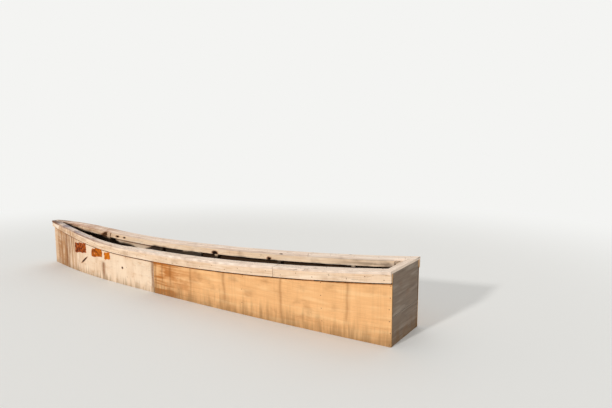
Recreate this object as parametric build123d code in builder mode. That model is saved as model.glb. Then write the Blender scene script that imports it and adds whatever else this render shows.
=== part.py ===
# A narrow wooden plank boat with a flat bottom, wide gunwale caps and a plank transom.
# Millimetres. +X is forward, +Y is port, +Z is up. The origin is on the floor under the middle of
# the boat: half way along its length, on its centreline, at the underside of the flat bottom.
from build123d import *
import os

os.makedirs("parts", exist_ok=True)

# Driving dimensions
LENGTH = 5200
CAP_OVERHANG_FORE = 50
CAP_BOW_X = LENGTH / 2
BOW_X = CAP_BOW_X - CAP_OVERHANG_FORE
STERN_X = -LENGTH / 2
SHOULDER_X = 1000
WIDEST_X = -1050

# Half breadths over the side panels, at the bottom and at a level above the sheer
BOTTOM_LEVEL = 0
TOP_LEVEL = 760
BOTTOM_BREADTHS = {"stern": 291, "widest": 328, "shoulder": 271, "bow": 38}
TOP_BREADTHS = {"stern": 300, "widest": 337, "shoulder": 280, "bow": 40}
LEVELS = ((BOTTOM_LEVEL, BOTTOM_BREADTHS), (TOP_LEVEL, TOP_BREADTHS))

# The sheer, along the top of the gunwale caps: low amidships, rising to both ends
SHEER_STERN = 740
SHEER_LOW_X = 650
SHEER_LOW = 558
SHEER_TURN_X = 1730
SHEER_TURN = 617
SHEER_BOW = 676

# The rocker of the bottom, flat between its two ends
ROCKER_FORE_X = 1300
ROCKER_FORE_RISE = 45
ROCKER_AFT_X = -1700
ROCKER_AFT_RISE = 30

# Timber sizes
BOTTOM_THICK = 25
PANEL_THICK = 18
CAP_THICK = 25
CAP_OVERHANG = 28
CAP_LIP = 4
CAP_CORNER = 12
OUTWALE_THICK = 22
OUTWALE_THICK_BOW = 8
OUTWALE_DEEP = 74
OUTWALE_DEEP_BOW = 55
INWALE_THICK = 22
INWALE_DEEP = 62
RIB_DEEP = 45
CHEEK_THICK = 12
FRAME_WIDE = 45
CHINE_LOG_THICK = 40
CHINE_LOG_DEEP = 45
STEM_NOSE = 30
STEM_LONG = 120
BREASTHOOK_LONG = 150
BREASTHOOK_DEEP = 45
BREASTHOOK_SWEEP = 70
NOSE_BLOCK_DEEP = 60
NOSE_BLOCK_BACK = 4
TRANSOM_THICK = 30
POST_THICK = 45
KNEE_LONG = 170
KNEE_SWEEP = 240
SEAT_THICK = 25
SEAT_GAP = 2
SEAT_ROUND = 6
RISER_DEEP = 60

# Places of the frames, seats, joints and seams
FRAME_X = (1594, 707, -180, -1067, -1954)
CHEEKED_FRAME_X = FRAME_X[0]
PANEL_JOINT_X = 220
RAIL_JOINT_X = -1450
BUTT_BLOCK_LONG = 300
BUTT_BLOCK_THICK = 22
RISER_Z = 290
RISER_FORE_X = FRAME_X[0] - FRAME_WIDE / 2
RISER_AFT_X = -2420
BOTTOM_SEAM_Y = 105
LIMBER_RADIUS = 14
LIMBER_Y = 110
TRANSOM_SEAM_Z = 350

# Insets from the outer face of the side panels, towards the centreline
RIB_IN = PANEL_THICK + RIB_DEEP
INWALE_IN = RIB_IN + INWALE_THICK
CHEEK_IN = INWALE_IN + CHEEK_THICK
CAP_IN = INWALE_IN + CAP_LIP
CAP_IN_BOW = 60
CHINE_LOG_IN = PANEL_THICK + CHINE_LOG_THICK

# The strip that is missing from the port cap's inner edge: its outer line's inset, amidships and
# at the bow, how far in it reaches, and the ragged end where it tore off
BREAK_IN = 30
BREAK_IN_BOW = 60
BREAK_REACH = 150
BREAK_END = (
    # x, y
    (880, 254),
    (800, 252),
    (720, 245),
    (655, 251),
    (700, 233),
    (560, 234),
    (600, 222),
    (440, 226),
    (340, 215),
    (340, 100),
    (880, 100),
)

# Half the width of every cutting slab, wider than the boat
REACH = 1000

# How far the hull's block runs on past both ends, before its pieces are cut off flat
SPARE = 100


def plan_edge(breadths, inset, bow_inset, bow_x):
    """Draw one side's plan curve, from the stern to the bow, and return its two arcs."""
    stern = (STERN_X, breadths["stern"] - inset)
    widest = (WIDEST_X, breadths["widest"] - inset)
    shoulder = (SHOULDER_X, breadths["shoulder"] - inset)
    bow = (bow_x, breadths["bow"] - bow_inset)
    aft = ThreePointArc(stern, widest, shoulder)
    fore = TangentArc(aft @ 1, bow, tangent=aft % 1)
    return aft, fore


def strip(outer, inner, outer_bow=None, inner_bow=None, bow_x=BOW_X):
    """A tall port-side wall between two insets, following the hull from the stern to the bow."""
    outer_bow = outer if outer_bow is None else outer_bow
    inner_bow = inner if inner_bow is None else inner_bow
    with BuildPart() as wall:
        for level, breadths in LEVELS:
            with BuildSketch(Plane.XY.offset(level)):
                with BuildLine():
                    outer_aft, outer_fore = plan_edge(breadths, outer, outer_bow, bow_x)
                    inner_aft, inner_fore = plan_edge(breadths, inner, inner_bow, bow_x)
                    Line(outer_aft @ 0, inner_aft @ 0)
                    Line(outer_fore @ 1, inner_fore @ 1)
                make_face()
        loft(ruled=True)
    return wall.part


def full_block(inset):
    """The hull's block over both sides, inside the given inset, running on past both ends."""
    with BuildPart() as inboard:
        for level, breadths in LEVELS:
            with BuildSketch(Plane.XY.offset(level)):
                with BuildLine():
                    aft, fore = plan_edge(breadths, inset, inset, BOW_X)
                    Polyline(
                        fore @ 1,
                        (BOW_X + SPARE, breadths["bow"] - inset),
                        (BOW_X + SPARE, -REACH),
                        (STERN_X - SPARE, -REACH),
                        (STERN_X - SPARE, breadths["stern"] - inset),
                        aft @ 0,
                    )
                make_face()
        loft(ruled=True)
    with BuildPart() as block:
        mirror(inboard.part, about=Plane.XZ)
        add(inboard.part, mode=Mode.INTERSECT)
    return block.part


def sheer_line(drop, bow_drop):
    """Draw the sheer, moved down by a drop, and return its stern and bow arcs."""
    low = (SHEER_LOW_X, SHEER_LOW - drop)
    aft = TangentArc(low, (STERN_X, SHEER_STERN - drop), tangent=(-1, 0))
    middle = TangentArc(low, (SHEER_TURN_X, SHEER_TURN - drop), tangent=(1, 0))
    fore = TangentArc(middle @ 1, (CAP_BOW_X, SHEER_BOW - bow_drop), tangent=middle % 1)
    return aft, fore


def bottom_line(rise):
    """Draw the rockered bottom line, moved up by a rise, and return its stern and bow arcs."""
    flat = Line((ROCKER_AFT_X, rise), (ROCKER_FORE_X, rise))
    aft = TangentArc(flat @ 0, (STERN_X, ROCKER_AFT_RISE + rise), tangent=(-1, 0))
    fore = TangentArc(flat @ 1, (BOW_X, ROCKER_FORE_RISE + rise), tangent=(1, 0))
    return aft, fore


def sheer_band(top_drop, low_drop, low_drop_bow=None):
    """A slab across the boat between two lines that follow the sheer."""
    low_drop_bow = low_drop if low_drop_bow is None else low_drop_bow
    with BuildPart() as band:
        with BuildSketch(Plane.XZ):
            with BuildLine():
                top_aft, top_fore = sheer_line(top_drop, top_drop)
                low_aft, low_fore = sheer_line(low_drop, low_drop_bow)
                Line(top_aft @ 1, low_aft @ 1)
                Line(top_fore @ 1, low_fore @ 1)
            make_face()
        extrude(amount=REACH, both=True)
    return band.part


def bottom_band(low_rise, top_rise):
    """A slab across the boat between two lines that follow the bottom."""
    with BuildPart() as band:
        with BuildSketch(Plane.XZ):
            with BuildLine():
                low_aft, low_fore = bottom_line(low_rise)
                top_aft, top_fore = bottom_line(top_rise)
                Line(low_aft @ 1, top_aft @ 1)
                Line(low_fore @ 1, top_fore @ 1)
            make_face()
        extrude(amount=REACH, both=True)
    return band.part


def side_band(low_rise):
    """A slab across the boat from above the bottom to the underside of the caps."""
    with BuildPart() as band:
        with BuildSketch(Plane.XZ):
            with BuildLine():
                low_aft, low_fore = bottom_line(low_rise)
                top_aft, top_fore = sheer_line(CAP_THICK, CAP_THICK)
                Line(low_aft @ 1, top_aft @ 1)
                Polyline(low_fore @ 1, (CAP_BOW_X, ROCKER_FORE_RISE + low_rise), top_fore @ 1)
            make_face()
        extrude(amount=REACH, both=True)
    return band.part


def stretch(x_from, x_to, y_from=-REACH, y_to=REACH, z_from=-REACH, z_to=REACH):
    """A plain block that picks out one stretch of the boat."""
    with BuildPart() as block:
        with Locations(((x_from + x_to) / 2, (y_from + y_to) / 2, (z_from + z_to) / 2)):
            Box(x_to - x_from, y_to - y_from, z_to - z_from)
    return block.part


def port_stretch(x_from, x_to):
    """The port half of a stretch of the boat."""
    return stretch(x_from, x_to, y_from=0)


def save(piece, label):
    piece.part.label = label
    export_step(piece.part, f"parts/{label}.step")


def save_pair(port, label):
    """Save a port piece and its mirror image on the starboard side."""
    save(port, f"{label}_port")
    with BuildPart() as starboard:
        mirror(port.part, about=Plane.XZ)
    save(starboard, f"{label}_starboard")


hull_block = full_block(0)
inner_block = full_block(PANEL_THICK)
floor_block = full_block(CHINE_LOG_IN)
rib_wall = strip(PANEL_THICK, RIB_IN)
inwale_wall = strip(RIB_IN, INWALE_IN)
bottom_layer = bottom_band(0, BOTTOM_THICK)
floor_layer = bottom_band(BOTTOM_THICK, BOTTOM_THICK + CHINE_LOG_DEEP)
side_layer = side_band(BOTTOM_THICK)
rib_layer = side_band(BOTTOM_THICK + CHINE_LOG_DEEP)
cap_layer = sheer_band(0, CAP_THICK)
inwale_layer = sheer_band(CAP_THICK, CAP_THICK + INWALE_DEEP)
breasthook_layer = sheer_band(CAP_THICK, CAP_THICK + BREASTHOOK_DEEP)
transom_inside = STERN_X + TRANSOM_THICK
stem_back = BOW_X - STEM_LONG
breasthook_back = stem_back - BREASTHOOK_LONG

# Bottom planks, three side by side, cut to the plan of the sides
BOTTOM_PLANKS = (
    # name, from y, to y
    ("bottom_plank_starboard", -REACH, -BOTTOM_SEAM_Y),
    ("bottom_plank_middle", -BOTTOM_SEAM_Y, BOTTOM_SEAM_Y),
    ("bottom_plank_port", BOTTOM_SEAM_Y, REACH),
)
for name, y_from, y_to in BOTTOM_PLANKS:
    with BuildPart() as bottom_plank:
        add(hull_block)
        add(bottom_layer, mode=Mode.INTERSECT)
        add(stretch(STERN_X, BOW_X, y_from, y_to), mode=Mode.INTERSECT)
    save(bottom_plank, name)

# Side panels, each in two lengths that butt on a block
SIDE_PANELS = (
    # name, from x, to x
    ("side_panel_fore", PANEL_JOINT_X, BOW_X - STEM_NOSE),
    ("side_panel_aft", STERN_X, PANEL_JOINT_X),
)
panel_wall = strip(0, PANEL_THICK)
for name, x_from, x_to in SIDE_PANELS:
    with BuildPart() as side_panel:
        add(panel_wall)
        add(side_layer, mode=Mode.INTERSECT)
        add(port_stretch(x_from, x_to), mode=Mode.INTERSECT)
    save_pair(side_panel, name)

block_fore = PANEL_JOINT_X + BUTT_BLOCK_LONG / 2
block_aft = PANEL_JOINT_X - BUTT_BLOCK_LONG / 2
with BuildPart() as butt_block:
    add(strip(PANEL_THICK, PANEL_THICK + BUTT_BLOCK_THICK))
    add(rib_layer, mode=Mode.INTERSECT)
    add(port_stretch(block_aft, block_fore), mode=Mode.INTERSECT)
save_pair(butt_block, "butt_block")

# Chine logs, in the corners between the sides and the bottom
with BuildPart() as chine_log:
    add(strip(PANEL_THICK, CHINE_LOG_IN))
    add(floor_layer, mode=Mode.INTERSECT)
    add(port_stretch(transom_inside, stem_back), mode=Mode.INTERSECT)
save_pair(chine_log, "chine_log")

# Stem post: a body between the side panels, and a nose that covers their ends
with BuildPart() as stem_nose:
    add(hull_block)
    add(stretch(BOW_X - STEM_NOSE, BOW_X), mode=Mode.INTERSECT)
with BuildPart() as stem_post:
    add(inner_block)
    add(stretch(stem_back, BOW_X), mode=Mode.INTERSECT)
    add(stem_nose.part)
    add(side_layer, mode=Mode.INTERSECT)
save(stem_post, "stem_post")

# Nose block, ahead of the stem under the caps' overhang
with BuildPart() as nose_block:
    add(hull_block)
    add(sheer_band(CAP_THICK, CAP_THICK + NOSE_BLOCK_DEEP), mode=Mode.INTERSECT)
    add(stretch(BOW_X, CAP_BOW_X - NOSE_BLOCK_BACK), mode=Mode.INTERSECT)
save(nose_block, "nose_block")

# Outwales and gunwale caps, each in two lengths; the outwales thin out towards the bow
RAIL_LENGTHS = (
    # name, from x, to x
    ("fore", RAIL_JOINT_X, CAP_BOW_X),
    ("aft", STERN_X, RAIL_JOINT_X),
)
outwale_wall = strip(-OUTWALE_THICK, 0, outer_bow=-OUTWALE_THICK_BOW)
outwale_layer = sheer_band(CAP_THICK, CAP_THICK + OUTWALE_DEEP, CAP_THICK + OUTWALE_DEEP_BOW)
cap_wall = strip(-CAP_OVERHANG, CAP_IN, -OUTWALE_THICK_BOW, CAP_IN_BOW, CAP_BOW_X)
with BuildPart() as missing_strip:
    add(strip(BREAK_IN, BREAK_REACH, outer_bow=BREAK_IN_BOW))
    add(stretch(BREAK_END[0][0], BOW_X), mode=Mode.INTERSECT)
    with BuildSketch():
        with BuildLine():
            Polyline(*BREAK_END, close=True)
        make_face()
    extrude(amount=TOP_LEVEL)
for name, x_from, x_to in RAIL_LENGTHS:
    with BuildPart() as outwale:
        add(outwale_wall)
        add(outwale_layer, mode=Mode.INTERSECT)
        add(port_stretch(x_from, x_to), mode=Mode.INTERSECT)
    save_pair(outwale, f"outwale_{name}")
    with BuildPart() as gunwale_cap:
        add(cap_wall)
        add(cap_layer, mode=Mode.INTERSECT)
        add(port_stretch(x_from, x_to), mode=Mode.INTERSECT)
        if x_to == CAP_BOW_X:
            tip_edges = gunwale_cap.edges().filter_by(Axis.Z, tolerance=5).group_by(Axis.X)[-1]
            chamfer(tip_edges.sort_by(Axis.Y)[-1], CAP_CORNER)
    with BuildPart() as starboard_cap:
        mirror(gunwale_cap.part, about=Plane.XZ)
    save(starboard_cap, f"gunwale_cap_{name}_starboard")
    with BuildPart() as port_cap:
        add(gunwale_cap.part)
        add(missing_strip.part, mode=Mode.SUBTRACT)
    save(port_cap, f"gunwale_cap_{name}_port")

# Breasthook under the joined ends of the caps, with a hollowed aft edge
with BuildPart() as breasthook:
    add(inner_block)
    add(breasthook_layer, mode=Mode.INTERSECT)
    add(stretch(breasthook_back, stem_back), mode=Mode.INTERSECT)
    with BuildSketch():
        with Locations((breasthook_back, 0)):
            Circle(BREASTHOOK_SWEEP)
    extrude(amount=TOP_LEVEL, mode=Mode.SUBTRACT)
save(breasthook, "breasthook")

# Inwales, on the inner faces of the ribs, from the breasthook to the transom
with BuildPart() as inwale:
    add(inwale_wall)
    add(inwale_layer, mode=Mode.INTERSECT)
    add(port_stretch(transom_inside, breasthook_back), mode=Mode.INTERSECT)
save_pair(inwale, "inwale")

# Frames: a floor timber with limber holes, and a rib on each side. The first frame's ribs are
# deeper and slotted, so that their heads clasp the inwales.
cheek_wall = strip(RIB_IN, CHEEK_IN)
for number, x in enumerate(FRAME_X, start=1):
    station = stretch(x - FRAME_WIDE / 2, x + FRAME_WIDE / 2)
    with BuildPart() as floor_timber:
        add(floor_block)
        add(floor_layer, mode=Mode.INTERSECT)
        add(station, mode=Mode.INTERSECT)
        underside = floor_timber.part.bounding_box().min.Z
        with BuildSketch(Plane.YZ.offset(x)):
            with Locations((-LIMBER_Y, underside), (LIMBER_Y, underside)):
                Circle(LIMBER_RADIUS)
        extrude(amount=FRAME_WIDE, both=True, mode=Mode.SUBTRACT)
    save(floor_timber, f"floor_timber_{number}")
    with BuildPart() as rib:
        add(rib_wall)
        if x == CHEEKED_FRAME_X:
            add(cheek_wall)
            add(inwale.part, mode=Mode.SUBTRACT)
        add(rib_layer, mode=Mode.INTERSECT)
        add(station, mode=Mode.INTERSECT)
        add(port_stretch(STERN_X, BOW_X), mode=Mode.INTERSECT)
    save_pair(rib, f"rib_{number}")

# Risers along the ribs, with the thwarts and the stern seat lying on them
seat_z = RISER_Z + RISER_DEEP
with BuildPart() as riser:
    add(inwale_wall)
    add(stretch(RISER_AFT_X, RISER_FORE_X, z_from=RISER_Z, z_to=seat_z), mode=Mode.INTERSECT)
save_pair(riser, "riser")

SEATS = (
    # name, from x, to x
    ("thwart_fore", 480, 680),
    ("thwart_middle", -410, -210),
    ("stern_seat", -2400, -2120),
)
seat_block = full_block(PANEL_THICK + SEAT_GAP)
for name, x_from, x_to in SEATS:
    with BuildPart() as seat:
        add(seat_block)
        add(stretch(x_from, x_to, z_from=seat_z, z_to=seat_z + SEAT_THICK), mode=Mode.INTERSECT)
        fillet(seat.edges().filter_by(Axis.Y).group_by(Axis.Z)[-1], SEAT_ROUND)
    save(seat, name)

# Transom planks, between the side panels
TRANSOM_PLANKS = (
    # name, from z, to z
    ("transom_plank_lower", 0, TRANSOM_SEAM_Z),
    ("transom_plank_upper", TRANSOM_SEAM_Z, TOP_LEVEL),
)
for name, z_from, z_to in TRANSOM_PLANKS:
    with BuildPart() as transom_plank:
        add(inner_block)
        add(side_layer, mode=Mode.INTERSECT)
        add(stretch(STERN_X, transom_inside, z_from=z_from, z_to=z_to), mode=Mode.INTERSECT)
    save(transom_plank, name)

# Transom cap between the side caps, and the sill and posts inside the transom
post_stretch = stretch(transom_inside, transom_inside + POST_THICK)
with BuildPart() as transom_cap:
    add(full_block(CAP_IN))
    add(cap_layer, mode=Mode.INTERSECT)
    add(stretch(STERN_X, transom_inside + POST_THICK), mode=Mode.INTERSECT)
save(transom_cap, "transom_cap")

with BuildPart() as transom_sill:
    add(floor_block)
    add(floor_layer, mode=Mode.INTERSECT)
    add(post_stretch, mode=Mode.INTERSECT)
save(transom_sill, "transom_sill")

with BuildPart() as transom_post:
    add(rib_wall)
    add(rib_layer, mode=Mode.INTERSECT)
    add(post_stretch, mode=Mode.INTERSECT)
save_pair(transom_post, "transom_post")

# Quarter knees, with a hollowed edge, between the inwales and the transom
knee_x = transom_inside + KNEE_LONG
knee_y = TOP_BREADTHS["stern"] - INWALE_IN
knee_outer_y = knee_y + KNEE_LONG / 2
with BuildPart() as quarter_knee:
    with BuildSketch():
        with BuildLine():
            RadiusArc((knee_x, knee_y - PANEL_THICK), (transom_inside, knee_y - KNEE_LONG), KNEE_SWEEP)
            Polyline(
                (transom_inside, knee_y - KNEE_LONG),
                (transom_inside, knee_outer_y),
                (knee_x, knee_outer_y),
                (knee_x, knee_y - PANEL_THICK),
            )
        make_face()
    extrude(amount=TOP_LEVEL)
    add(full_block(INWALE_IN), mode=Mode.INTERSECT)
    add(breasthook_layer, mode=Mode.INTERSECT)
save_pair(quarter_knee, "quarter_knee")
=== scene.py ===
import collections
import functools
import math

import bmesh
import bpy
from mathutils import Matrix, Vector, noise


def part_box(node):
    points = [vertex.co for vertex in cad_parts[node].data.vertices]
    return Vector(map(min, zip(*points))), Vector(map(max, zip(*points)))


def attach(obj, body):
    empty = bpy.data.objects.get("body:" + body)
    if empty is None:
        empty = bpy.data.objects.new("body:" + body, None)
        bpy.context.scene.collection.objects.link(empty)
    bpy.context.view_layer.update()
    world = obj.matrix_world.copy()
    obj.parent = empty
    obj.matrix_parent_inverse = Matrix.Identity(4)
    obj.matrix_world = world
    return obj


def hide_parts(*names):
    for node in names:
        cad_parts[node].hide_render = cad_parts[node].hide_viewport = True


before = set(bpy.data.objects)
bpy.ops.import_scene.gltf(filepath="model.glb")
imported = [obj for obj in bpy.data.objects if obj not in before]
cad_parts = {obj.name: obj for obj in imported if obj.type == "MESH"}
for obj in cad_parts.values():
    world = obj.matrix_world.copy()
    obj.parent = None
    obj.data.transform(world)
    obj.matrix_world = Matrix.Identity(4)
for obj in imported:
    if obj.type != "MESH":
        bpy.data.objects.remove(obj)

bl_info = {
    "name": "Weathered plank boat",
    "version": (1, 0, 0),
    "blender": (4, 5, 0),
    "location": "3D View > Sidebar > Plank boat",
    "description": "Dresses the packed plank boat in worn boards, nails, stains and paint",
    "category": "Object",
}

PORT, STARBOARD = 1, -1
SIDES = (("port", PORT), ("starboard", STARBOARD))

# Hull lines in metres, with the same values as the part's solids
STERN_X = -2.6
WIDEST_X = -1.05
SHOULDER_X = 1.0
BOW_X = 2.55
CAP_BOW_X = 2.6
BREADTHS = (
    # level, half breadths at the stern, the widest place, the shoulder and the bow
    (0.0, 0.291, 0.328, 0.271, 0.038),
    (0.76, 0.300, 0.337, 0.280, 0.040),
)
TOP_LEVEL = BREADTHS[1][0]
SHEER_LOW = (0.65, 0.558)
SHEER_STERN_Z = 0.740
SHEER_TURN = (1.73, 0.617)
SHEER_BOW_Z = 0.676
ROCKER_FORE = (1.3, 0.045)
ROCKER_AFT = (-1.7, 0.030)

# Timber sizes in metres
BOTTOM_THICK = 0.025
PANEL_THICK = 0.018
CAP_THICK = 0.025
CAP_OVERHANG = 0.028
CAP_IN = 0.089
CAP_IN_BOW = 0.060
CAP_CORNER = 0.012
OUTWALE_THICK = 0.022
OUTWALE_THICK_BOW = 0.008
OUTWALE_DEEP = 0.074
OUTWALE_DEEP_BOW = 0.055
RIB_IN = 0.063
INWALE_IN = 0.085
INWALE_DEEP = 0.062
CHINE_LOG_IN = 0.058
CHINE_LOG_DEEP = 0.045
STEM_NOSE = 0.030
STEM_LONG = 0.120
BREASTHOOK_LONG = 0.150
FRAME_WIDE = 0.045
TRANSOM_THICK = 0.030
POST_THICK = 0.045
RISER_Z = 0.290
RISER_DEEP = 0.060
RISER_AFT_X = -2.420
SEAT_THICK = 0.025
SEAT_GAP = 0.002
PANEL_JOINT_X = 0.220
RAIL_JOINT_X = -1.450
TRANSOM_SEAM_Z = 0.350
FRAME_X = (1.594, 0.707, -0.180, -1.067, -1.954)
BREAK_IN = 0.030
BREAK_IN_BOW = 0.060
BREAK_END = (
    # x and y of the inner edge that is left where the port cap's inner strip tore off
    (0.340, 0.2155),
    (0.440, 0.2260),
    (0.585, 0.2230),
    (0.592, 0.2335),
    (0.690, 0.2335),
    (0.697, 0.2462),
    (0.720, 0.2450),
    (0.800, 0.2520),
    (0.880, 0.2540),
)
SEATS = (
    # seat, from x, to x
    ("thwart_fore", 0.480, 0.680),
    ("thwart_middle", -0.410, -0.210),
    ("stern_seat", -2.400, -2.120),
)
# How deep the hull floats
DRAUGHT = 0.10

# Half the gap left where boards meet on the centreline, the gap that keeps two faces from sharing
# a plane, and how far the torn edge frays, in metres
MITRE_GAP = 0.0012
CLEARANCE = 0.001
FRAY = 0.005

# Distance in metres between the stations of most boards, rails, the torn cap and inner timbers
BOARD_STEP = 0.016
RAIL_STEP = 0.014
TORN_STEP = 0.006
TIMBER_STEP = 0.03

# Edges that turn more than this are drawn sharp, and softened on the timbers that keep their solids
SHARP_ANGLE = math.radians(40)


def clamp(value):
    """A value kept between 0 and 1."""
    return min(1.0, max(0.0, value))


def linear(code):
    """An sRGB hex colour as linear red, green, blue and alpha."""
    channels = [int(code[i:i + 2], 16) / 255 for i in (1, 3, 5)]
    return tuple(c / 12.92 if c <= 0.04045 else ((c + 0.055) / 1.055) ** 2.4 for c in channels) + (1.0,)


def colour(name, description, code):
    """A colour property that starts from a hex colour."""
    return bpy.props.FloatVectorProperty(
        name=name, description=description, subtype="COLOR", size=4, min=0, max=1, default=linear(code)
    )


def length(name, description, metres):
    """A length property in metres."""
    return bpy.props.FloatProperty(name=name, description=description, unit="LENGTH", min=0, default=metres)


class BoatWear(bpy.types.PropertyGroup):
    edge_round: length("Edge round", "Radius left on every sawn edge", 0.0022)
    edge_wear: length("Edge wear", "Depth of the worst worn stretches along an edge", 0.006)
    nail_head: length("Nail head", "Diameter of a nail head", 0.008)
    nail_proud: length("Nail proud", "How far a nail head stands out of the wood", 0.0008)
    joint_gap: length("Joint gap", "Half the gap that shrinking has opened at a butt joint", 0.0018)
    waterline: length(
        "Waterline", "Height of the floor that stands for the water",
        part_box("bottom_plank_middle")[0].z + DRAUGHT,
    )


class BoatColours(bpy.types.PropertyGroup):
    cap: colour("Cap wood", "Silvered wood of the gunwale caps", "#f7e1cc")
    strake: colour("Outwale wood", "Sun-bleached wood of the outwales", "#e6cbae")
    paint: colour("Worn paint", "Thin whitish paint on the fore sides", "#e2c5a6")
    bare: colour("Bare side", "Bare orange-tan wood of the aft sides", "#e7b27a")
    inner: colour("Inner timber", "Dry timber inside the boat", "#fcdebc")
    seat: colour("Seats", "Worn seat boards", "#b3977c")
    # The transom's grey brown is painted shade
    transom: colour("Transom", "Greyed planks of the transom", "#8b7b6c")
    bottom: colour("Bottom", "Waterlogged bottom planks", "#4a3524")
    stain: colour("Stain", "Brown water stain", "#7d4c22")
    splash: colour("Splash dirt", "Mud splashed on the sides above the waterline", "#80603c")
    # Damp dirt and painted shadow, nearly black, low down inside the boat
    damp_and_shadow: colour("Damp", "Wet dirt low down inside the boat", "#1e140c")
    crack: colour("Crack", "Depth of an open crack", "#2a180d")
    mark_dark: colour("Dark rust mark", "Rust-brown paint of the foremost mark", "#9c4400")
    mark_light: colour("Light rust mark", "Rust-orange paint of the aftmost mark", "#cc6e06")
    iron: colour("Nail iron", "Rusted nail heads", "#5a3520")
    floor: colour("Floor", "Plain floor at the waterline", "#e6e5e1")
    backdrop: colour("Backdrop", "Plain background behind the floor", "#f4f4f2")


class BoatSettings(bpy.types.PropertyGroup):
    wear: bpy.props.PointerProperty(type=BoatWear, name="Wear", description="Sizes of wear and nails")
    colours: bpy.props.PointerProperty(
        type=BoatColours, name="Colours", description="Main colours of the finishes and the stage"
    )


# Hull curves

def on_circle(circle, x):
    """Height of a circle's arc at x. A negative radius has its centre below the arc."""
    centre, radius = circle
    return centre.y - math.copysign(math.sqrt(radius ** 2 - (x - centre.x) ** 2), radius)


def circle_through(a, b, c):
    """The circle through three points that bulge upwards."""
    sums = [p[0] ** 2 + p[1] ** 2 for p in (a, b, c)]
    turn = 2 * (a[0] * (b[1] - c[1]) + b[0] * (c[1] - a[1]) + c[0] * (a[1] - b[1]))
    centre = Vector((
        (sums[0] * (b[1] - c[1]) + sums[1] * (c[1] - a[1]) + sums[2] * (a[1] - b[1])) / turn,
        (sums[0] * (c[0] - b[0]) + sums[1] * (a[0] - c[0]) + sums[2] * (b[0] - a[0])) / turn,
    ))
    return centre, -(Vector(a) - centre).length


def tangent_circle(start, up, end):
    """The circle that passes through start, at right angles to its up vector, and through end."""
    chord = Vector(end) - Vector(start)
    radius = chord.length_squared / (2 * up.dot(chord))
    return Vector(start) + up * radius, radius


@functools.lru_cache(maxsize=None)
def plan_circles(level, inset, bow_inset, bow_x):
    """The aft and fore arcs of the hull's plan at one of its two levels, moved in by an inset."""
    stern, widest, shoulder, bow = BREADTHS[level][1:]
    joint = (SHOULDER_X, shoulder - inset)
    aft = circle_through((STERN_X, stern - inset), (WIDEST_X, widest - inset), joint)
    up = (Vector(joint) - aft[0]).normalized()
    return aft, tangent_circle(joint, up, (bow_x, bow - bow_inset))


def edge(inset, bow_inset=None, bow_x=BOW_X):
    """An edge of a board that keeps an inset from the hull's outer face, as a function of x and z."""
    bow_inset = inset if bow_inset is None else bow_inset

    def breadth(x, z):
        foot, head = (
            on_circle(aft if x < SHOULDER_X else fore, x)
            for aft, fore in (plan_circles(level, inset, bow_inset, bow_x) for level in (0, 1))
        )
        return foot + (head - foot) * z / TOP_LEVEL

    return breadth


@functools.lru_cache(maxsize=None)
def sheer_circles(drop, bow_drop):
    """The aft, middle and fore arcs of the sheer, moved down by a drop."""
    low = (SHEER_LOW[0], SHEER_LOW[1] - drop)
    turn = (SHEER_TURN[0], SHEER_TURN[1] - drop)
    up = Vector((0, 1))
    aft = tangent_circle(low, up, (STERN_X, SHEER_STERN_Z - drop))
    middle = tangent_circle(low, up, turn)
    lean = (middle[0] - Vector(turn)).normalized()
    fore = tangent_circle(turn, lean, (CAP_BOW_X, SHEER_BOW_Z - bow_drop))
    return aft, middle, fore


def sheer(drop, bow_drop=None):
    """A line that follows the sheer, as a function of x."""
    aft, middle, fore = sheer_circles(drop, drop if bow_drop is None else bow_drop)

    def height(x):
        if x < SHEER_LOW[0]:
            return on_circle(aft, x)
        return on_circle(middle if x < SHEER_TURN[0] else fore, x)

    return height


def bottom(rise):
    """A line that follows the rockered bottom, as a function of x."""
    up = Vector((0, 1))
    aft = tangent_circle((ROCKER_AFT[0], rise), up, (STERN_X, ROCKER_AFT[1] + rise))
    fore = tangent_circle((ROCKER_FORE[0], rise), up, (BOW_X, ROCKER_FORE[1] + rise))

    def height(x):
        if ROCKER_AFT[0] <= x <= ROCKER_FORE[0]:
            return rise
        return on_circle(aft if x < ROCKER_AFT[0] else fore, x)

    return height


# Stations: a board's width, depth and a function that puts a point of its section in space

def along_hull(outer, inner, low, high, side):
    """Stations along the boat, of a board between two edges and two heights."""
    def station(x):
        z_low = low(x)
        depth = high(x) - z_low
        foot = outer(x, z_low), inner(x, z_low)
        head = outer(x, z_low + depth), inner(x, z_low + depth)
        width = abs(foot[0] - foot[1])

        def put(across, up):
            share = up / depth
            y_outer = foot[0] + (head[0] - foot[0]) * share
            y_inner = foot[1] + (head[1] - foot[1]) * share
            return x, side * (y_outer + (y_inner - y_outer) * across / width), z_low + up

        return width, depth, put

    return station


def across_boat(x_from, x_to, low, high, reach):
    """Stations across the boat, of a board that reaches from side to side."""
    def station(y):
        z_low = low(x_from)
        depth = high(x_from) - z_low
        middle = reach(x_from, z_low + depth / 2)

        def put(across, up):
            x = x_from + across
            return x, y / middle * reach(x, z_low + up), low(x) + up

        return x_to - x_from, depth, put

    return station


def upright(x_from, outer, inner, side):
    """Stations up the boat's side, of a frame's timber that stands against it."""
    def station(z):
        middle = x_from + FRAME_WIDE / 2
        deep = outer(middle, z) - inner(middle, z)

        def put(across, up):
            x = x_from + up
            return x, side * (outer(x, z) - across), z

        return deep, FRAME_WIDE, put

    return station


# Board meshes

FACES = {
    # face: start corner, end corner and outward direction, as shares across and up
    "outer": ((0, 0), (0, 1), (-1, 0)),
    "top": ((0, 1), (1, 1), (0, 1)),
    "inner": ((1, 1), (1, 0), (1, 0)),
    "under": ((1, 0), (0, 0), (0, -1)),
}
# Each worn corner has a point between its two faces: its share of the round, and of its outward way
CORNER_SHARE = 0.3
CORNER_OUT = 0.7
# The largest share of a board's width or depth that wear takes off a corner
ROUND_LIMIT = 0.3
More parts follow.
